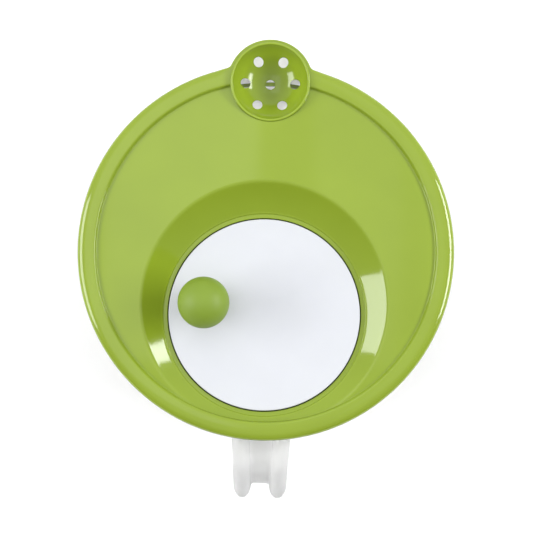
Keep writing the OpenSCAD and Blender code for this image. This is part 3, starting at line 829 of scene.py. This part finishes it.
def spout_reach(x, y, z, inset):
    """Distance from the axis to the spout's wall, in the direction of (x, y)."""
    grow = (SPOUT_R - SPOUT_TIP_R) / SPOUT_DEPTH
    radius = SPOUT_TIP_R - inset + grow * (z - RIM_Z + SPOUT_DEPTH)
    length = math.hypot(x, y)
    along, across = CUP[1] * y / length, CUP[1] * x / length
    if y <= 0 or radius <= 0:
        return 0
    return along + math.sqrt(max(0, radius * radius - across * across))


def bowl_profile():
    """Section of the bowl's wall from the middle of its underside to the middle of its floor, with
    the amount by which the spout's wall is moved in at each point, or None where it has no part."""
    return foot_section() + wall_section() + floor_section()


def foot_section():
    """The underside, with the recess that holds the pad."""
    gap_r, edge = pad_high.x + 0.2, 0.3
    low = bowl_low.z
    section = [(0, pad_high.z), (gap_r - edge, pad_high.z), (gap_r, pad_high.z - edge)]
    section += [(gap_r, low + 0.4), (gap_r + 0.4, low), (FOOT_R - 0.8, low), (FOOT_R - 0.2, low + 0.3)]
    return [(r, z, None) for r, z in section]


def wall_section():
    """The wall's outer side, the rim with its bead, and the inner side down to the floor."""
    outer = BELLY_R + WALL
    foot_angle = -math.degrees(math.acos((FOOT_R - FLOOR_R) / outer))
    outside = arc((FLOOR_R, BELLY_Z), outer, foot_angle, 0, 30)
    outside += [(mix(FLOOR_R + outer, NECK_R, t), mix(BELLY_Z, NECK_Z, t)) for t in spread(0, 1, 22)[1:]]
    outside += [*NECK_FLARE, (BEAD_R, BEAD_Z)]
    outside += arc((BEAD_R - BEAD_ROUND, RIM_Z - BEAD_ROUND), BEAD_ROUND, 0, 90, 5)
    inside = arc((BOWL_IN_R + RIM_ROUND, RIM_Z - RIM_ROUND), RIM_ROUND, 90, 180, 4)
    belly_in_r, lip_z = FLOOR_R + BELLY_R, RIM_Z - RIM_ROUND
    inside += [(mix(BOWL_IN_R, belly_in_r, t), mix(lip_z, BELLY_Z, t)) for t in spread(0, 1, 26)[1:]]
    inside += arc((FLOOR_R, BELLY_Z), BELLY_R, 0, -90, 24)[1:]
    return [(r, z, 0) for r, z in outside] + [(r, z, SPOUT_WALL) for r, z in inside]


def floor_section():
    """The floor, and the spigot in its middle that the whisk turns on."""
    root, crown = 0.4, 0.6
    section = [(30, FLOOR_Z), (20, FLOOR_Z), (10, FLOOR_Z)]
    section += arc((SPIGOT_R + root, FLOOR_Z + root), root, -90, -180, 3)
    section += arc((SPIGOT_R - crown, SPIGOT_Z - crown), crown, 0, 90, 4)
    return [(r, z, None) for r, z in section + [(0, SPIGOT_Z)]]


def build_bowl():
    """The bowl as rings of points, pushed out where the spout reaches further than the wall."""
    spout_half, spout_blend = 24, 2.4
    angles = [90 + a for a in spread(-spout_half, spout_half, 80)]
    angles += [90 + a for a in spread(spout_half, 360 - spout_half, 230)[1:-1]]
    points, rings = [], []
    for radius, z, inset in bowl_profile():
        ring = []
        for angle in angles:
            reach = radius
            if inset is not None:
                reach = soft_max(radius, spout_reach(*polar(AXIS, 1, angle), z, inset), spout_blend)
            ring.append(polar(AXIS, reach, angle) + (z,))
        if radius == 0:
            ring = [(0, 0, z)]
        rings.append((len(points), len(ring)))
        points += ring
    faces = ring_faces(rings, len(angles))
    bowl = outward(make_object("bowl_shell", points, faces, bowl_look))
    return place(shade(bowl), "bowl", "bowl_plastic", "mixing_bowl")


def build_pad():
    """Rubber pad, with rings of grooves in the face that grips the table."""
    low, high, radius = pad_low.z, pad_high.z, pad_high.x
    profile = [(0, high), (radius - 0.4, high)] + arc((radius - 0.4, high - 0.4), 0.4, 90, 0, 3)[1:]
    profile += arc((radius - 0.8, low + 0.8), 0.8, 0, -90, 4)
    deep, half_top, half_mouth = low + 0.6, 0.45, 0.7
    for groove in (42, 38, 34, 30, 26):
        profile += [(groove + half_mouth, low), (groove + half_top, deep)]
        profile += [(groove - half_top, deep), (groove - half_mouth, low)]
    profile += [(20, low), (0, low)]
    pad = outward(revolve("non_slip_pad", profile, AXIS, 160, rubber_look))
    return place(shade(pad), "bowl", "pad_rubber", "base_pad")


# ---------------------------------------------------------------- handle
# Handle: two rails that come out of the wall, bend down and lean together, and a web between them
HANDLE_W, RAIL_W, RAIL_DEPTH = 28.4, 8.5, 10.5
RAIL_LEAN, RAIL_LEAN_START = math.tan(math.radians(3.6)), 88.0
RAIL_EDGE, RAIL_SHOULDER, RAIL_POWER = 1.0, 3.4, 2.1
RAIL_FLARE, RAIL_FLARE_STEPS = 0.10, 3
HANDLE_ROOT, HANDLE_REACH = 84.6, -handle_low.y
HANDLE_BEND, HANDLE_TOP, HANDLE_TIP = 20.0, 101.0, handle_low.z
WEB_END, WEB_BACK, WEB_T = HANDLE_TIP + 6.6, 0.8, 2.5
WEB_RISE, WEB_RISE_W, WEB_RISE_LIMIT = 0.7, 1.6, 1.8


def handle_path(end):
    """Points along the handle's inner side, out from the wall and down to height end. Each is the
    distance out, the height, and the direction of the outer side."""
    bend_x, bend_z = HANDLE_REACH - HANDLE_BEND, HANDLE_TOP - HANDLE_BEND
    inner = HANDLE_BEND - RAIL_DEPTH
    path = [(x, bend_z + inner, 0, 1) for x in spread(HANDLE_ROOT, bend_x, 8)[:-1]]
    for a in spread(90, 0, 16):
        out = (math.cos(math.radians(a)), math.sin(math.radians(a)))
        path.append((bend_x + inner * out[0], bend_z + inner * out[1], *out))
    path += [(bend_x + inner, z, 1, 0) for z in spread(bend_z, end, 16)[1:]]
    return path


def rail_middle(distance):
    return (HANDLE_W - RAIL_W) / 2 - max(0, distance - RAIL_LEAN_START) * RAIL_LEAN


def rail_section(grow):
    """Outline of a rail: across and outwards, with a bullet-shaped outer side."""
    half, edge, power = RAIL_W / 2 * grow, RAIL_EDGE, 2 / RAIL_POWER
    outline = [(edge - half, 0), (0, 0), (half - edge, 0)] + arc((half - edge, edge), edge, -60, 0, 3)
    for a in spread(0, 180, 24):
        c, s = math.cos(math.radians(a)), math.sin(math.radians(a))
        across = half * math.copysign(abs(c) ** power, c)
        outline.append((across, RAIL_SHOULDER + (RAIL_DEPTH - RAIL_SHOULDER) * abs(s) ** power))
    return outline + arc((edge - half, edge), edge, 180, 240, 3)


def rail_loop(side, distance, z, out, shrink, grow):
    """One section of a rail in place, shrunk about its middle where the rail's end is rounded."""
    centre, middle = side * rail_middle(distance), RAIL_DEPTH / 2
    loop = []
    for across, depth in rail_section(grow):
        depth = middle + (depth - middle) * shrink
        loop.append((centre + across * shrink, -(distance + out[0] * depth), z + out[1] * depth))
    return loop


def build_rail(side):
    sections = []
    round_r = RAIL_DEPTH / 2
    path = handle_path(HANDLE_TIP + round_r)
    for i, (distance, z, out_x, out_z) in enumerate(path):
        grow = 1 + RAIL_FLARE * max(0, 1 - i / RAIL_FLARE_STEPS) ** 2
        sections.append(rail_loop(side, distance, z, (out_x, out_z), 1, grow))
    distance, z = path[-1][:2]
    for a in spread(0, 84, 9)[1:]:
        bend = math.radians(a)
        sections.append(rail_loop(side, distance, z - round_r * math.sin(bend), (1, 0), math.cos(bend), 1))
    return outward(sweep("tool", sections, None))


def build_web():
    """Thin plate between the rails, thickening towards them, with a rounded lower edge."""
    sections = []
    for distance, z, out_x, out_z in handle_path(WEB_END):
        half = rail_middle(distance)
        rise_start = half - RAIL_W / 2 - WEB_RISE_W
        loop = []
        for t in spread(-1, 1, 20):
            rise = WEB_RISE * max(0, (abs(t) * half - rise_start) / WEB_RISE_W) ** 2
            loop.append((t * half, WEB_BACK + WEB_T + min(rise, WEB_RISE_LIMIT)))
        loop += [(t * half, WEB_BACK) for t in spread(1, -1, 20)]
        sections.append([(a, -(distance + out_x * d), z + out_z * d) for a, d in loop])
    last = sections[-1]
    for drop, pinch in ((0.35, 0.25), (0.6, 0.7)):
        pinches = [pinch] * (len(last) // 2) + [-pinch] * (len(last) // 2)
        sections.append([(x, y + move, z - drop) for (x, y, z), move in zip(last, pinches)])
    return outward(sweep("tool", sections, None))


def build_handle():
    handle = build_rail(-1)
    handle.name = "fork_handle"
    combine(handle, build_rail(1), "UNION")
    combine(handle, build_web(), "UNION")
    paint(handle, handle_look)
    return place(shade(handle), "bowl", "bowl_plastic", "bowl_handle")


# ---------------------------------------------------------------- whisk
def loop_section(half_w, half_t, corner):
    """Rounded rectangle, across the band and across its thickness."""
    outline = []
    for sx, sy, start in ((1, 1, 0), (-1, 1, 90), (-1, -1, 180), (1, -1, 270)):
        centre = (sx * (half_w - corner), sy * (half_t - corner))
        outline += arc(centre, corner, start, start + 90, 4)
    return outline


def build_loops(name, half_width, low, high, turned, node):
    """Two D-shaped loops, one on each side of the shaft."""
    band, thick, corner, power, hub = 4.0, 2.4, 0.9, 2 / 2.4, 3.4
    a, b = half_width - band / 2, (high - low - band) / 2
    middle = (low + high) / 2
    section = loop_section(band / 2, thick / 2, corner)
    points, faces = [], []
    for side in (-1, 1):
        path = []
        for t in spread(90, -90, 72):
            c, s = math.cos(math.radians(t)), math.sin(math.radians(t))
            x = a * abs(c) ** power
            z = middle + b * math.copysign(abs(s) ** power, s)
            if x > hub:
                path.append((x, z))
        path = [(hub, middle + b)] + path + [(hub, middle - b)]
        start = len(points)
        for i, (x, z) in enumerate(path):
            before, after = path[max(0, i - 1)], path[min(len(path) - 1, i + 1)]
            along = Vector((after[0] - before[0], after[1] - before[1])).normalized()
            normal = (-along.y, along.x)
            for across, through in section:
                px, pz = side * (x + normal[0] * across), z + normal[1] * across
                points.append((through, px, pz) if turned else (px, through, pz))
        count = len(section)
        faces += grid_faces(len(path), count, start)
        last = start + (len(path) - 1) * count
        faces.append(tuple(reversed(range(start, start + count))))
        faces.append(tuple(range(last, last + count)))
    loops = outward(make_object(name, points, faces, whisk_look))
    return place(shade(loops, 50), "whisk", "whisk_plastic", node)


def build_hub(name, low, high, radius, taper, node):
    """Moulded hub that holds the loops, with rounded ends, a slight waist and a clear bore."""
    bore, bore_edge, edge = 4.02, 0.3, 0.9
    profile = arc((bore + bore_edge, low + bore_edge), bore_edge, 180, 270, 3)
    profile += arc((radius - edge, low + edge), edge, -90, 0, 5)
    for t in spread(0, 1, 8)[1:-1]:
        profile.append((radius - taper * math.sin(math.pi * t), mix(low + edge, high - edge, t)))
    profile += arc((radius - edge, high - edge), edge, 0, 90, 5)
    profile += arc((bore + bore_edge, high - bore_edge), bore_edge, 90, 180, 3)
    hub = outward(revolve(name, profile, AXIS, 96, whisk_look))
    return place(shade(hub), "whisk", "whisk_plastic", node)


# ---------------------------------------------------------------- carried-over parts
def finish_cad_parts():
    looks = {"gear_plastic": gear_look, "steel": steel_look}
    for row in frame["record"]["subparts"]:
        part = frame["nodes"][row["node"]]
        if not part.hide_render:
            paint(part, looks[row["material_slot"]])


# ---------------------------------------------------------------- stage
def build_floor():
    size = 3000
    points = [(-size, -size, 0), (size, -size, 0), (size, size, 0), (-size, size, 0)]
    floor = make_object("floor", points, [(0, 1, 2, 3)], pale_floor())


def softbox(name, place_mm, aim_mm, width_mm, height_mm, radiance, feather_mm=0):
    """A rectangular soft light of the given brightness. Its edge fades over feather_mm, as it is made of
    nested lamps, which stand a little apart so that reflections see each of them."""
    steps = 5 if feather_mm else 1
    apart_mm = 2
    for i in range(steps):
        inset = 2 * feather_mm * i / steps
        light = bpy.data.lights.new(name, "AREA")
        light.shape = "RECTANGLE"
        light.size, light.size_y = (width_mm - inset) * MM, (height_mm - inset) * MM
        light.energy = radiance / steps * math.pi * light.size * light.size_y
        lamp = bpy.data.objects.new(name, light)
        away = (Vector(place_mm) - Vector(aim_mm)).normalized()
        lamp.location = (Vector(place_mm) + away * apart_mm * i) * MM
        lamp.rotation_euler = (Vector(aim_mm) - Vector(place_mm)).to_track_quat("-Z", "Y").to_euler()
        bpy.context.scene.collection.objects.link(lamp)


def build_lights():
    """Two wide dim softboxes overhead and two small bright ones at the sides: place, aim, width, height,
    brightness and the width of the faded edge."""
    softbox("overhead_left", (-440, 275, 1620), (-440, 275, 0), 820, 1550, 0.8, 60)
    softbox("overhead_right", (430, 275, 1620), (430, 275, 0), 480, 1550, 0.3, 60)
    softbox("side_left", (-1200, -52, 725), (0, -52, 112), 875, 460, 8.2)
    softbox("side_right", (1120, 111, 740), (0, 111, 112), 883, 250, 15.0)
    build_room()


def build_room():
    """A pale room, brightest overhead and behind the spout, dim low down on the handle's side."""
    world = bpy.data.worlds.new("studio")
    world.use_nodes = True
    nodes, links = world.node_tree.nodes, world.node_tree.links
    bright_way = (0, 0.5, 0.8)
    slope = nodes.new("ShaderNodeVectorMath")
    slope.operation = "DOT_PRODUCT"
    slope.inputs[1].default_value = bright_way
    links.new(nodes.new("ShaderNodeTexCoord").outputs["Generated"], slope.inputs[0])
    level = nodes.new("ShaderNodeMapRange")
    for socket, number in {"From Min": -0.2, "From Max": 0.8, "To Min": 0.13, "To Max": 1.1}.items():
        level.inputs[socket].default_value = number
    links.new(slope.outputs["Value"], level.inputs["Value"])
    links.new(level.outputs["Result"], nodes["Background"].inputs["Strength"])
    nodes["Background"].inputs["Color"].default_value = (1, 1, 1, 1)
    bpy.context.scene.world = world


def build_camera():
    """Camera nearly straight above, turned a little, with the lid above the middle of the frame."""
    elevation, roll, distance = math.radians(88), math.radians(1.52), 1000.0
    half_frame = 131.32
    aim_right, aim_down = 4.37, 11.0
    sight = Vector((0, math.cos(elevation), -math.sin(elevation)))
    up = Vector((0, math.sin(elevation), math.cos(elevation)))
    right = Vector((1, 0, 0))
    frame_right = math.cos(roll) * right + math.sin(roll) * up
    frame_up = math.cos(roll) * up - math.sin(roll) * right
    aim = Vector((0, 0, RING_UNDER)) + frame_right * aim_right - frame_up * aim_down
    data = bpy.data.cameras.new("camera")
    data.sensor_width = 36
    data.lens = distance * data.sensor_width / 2 / half_frame
    data.clip_start, data.clip_end = 0.01, 20
    camera = bpy.data.objects.new("camera", data)
    turn = Matrix((frame_right, frame_up, -sight)).transposed()
    camera.matrix_world = Matrix.Translation((aim - sight * distance) * MM) @ turn.to_4x4()
    bpy.context.scene.collection.objects.link(camera)
    bpy.context.scene.camera = camera


bpy.context.scene.view_settings.view_transform = "Standard"
build_camera()
build_lights()
build_floor()
build_lid()
build_cup()
build_disc()
build_knob()
build_tray()
build_bowl()
build_pad()
build_handle()
build_loops("whisk_outer_loops", outer_high.x, outer_low.z, outer_high.z, False, "outer_loops")
build_loops("whisk_inner_loops", inner_high.y, inner_low.z, inner_high.z, True, "inner_loops")
build_hub("whisk_hub", collar_low.z, collar_high.z, collar_high.x, 0.35, "whisk_collar")
build_hub("whisk_tip", foot_low.z, foot_high.z, foot_high.x, 0.25, "whisk_foot")
finish_cad_parts()
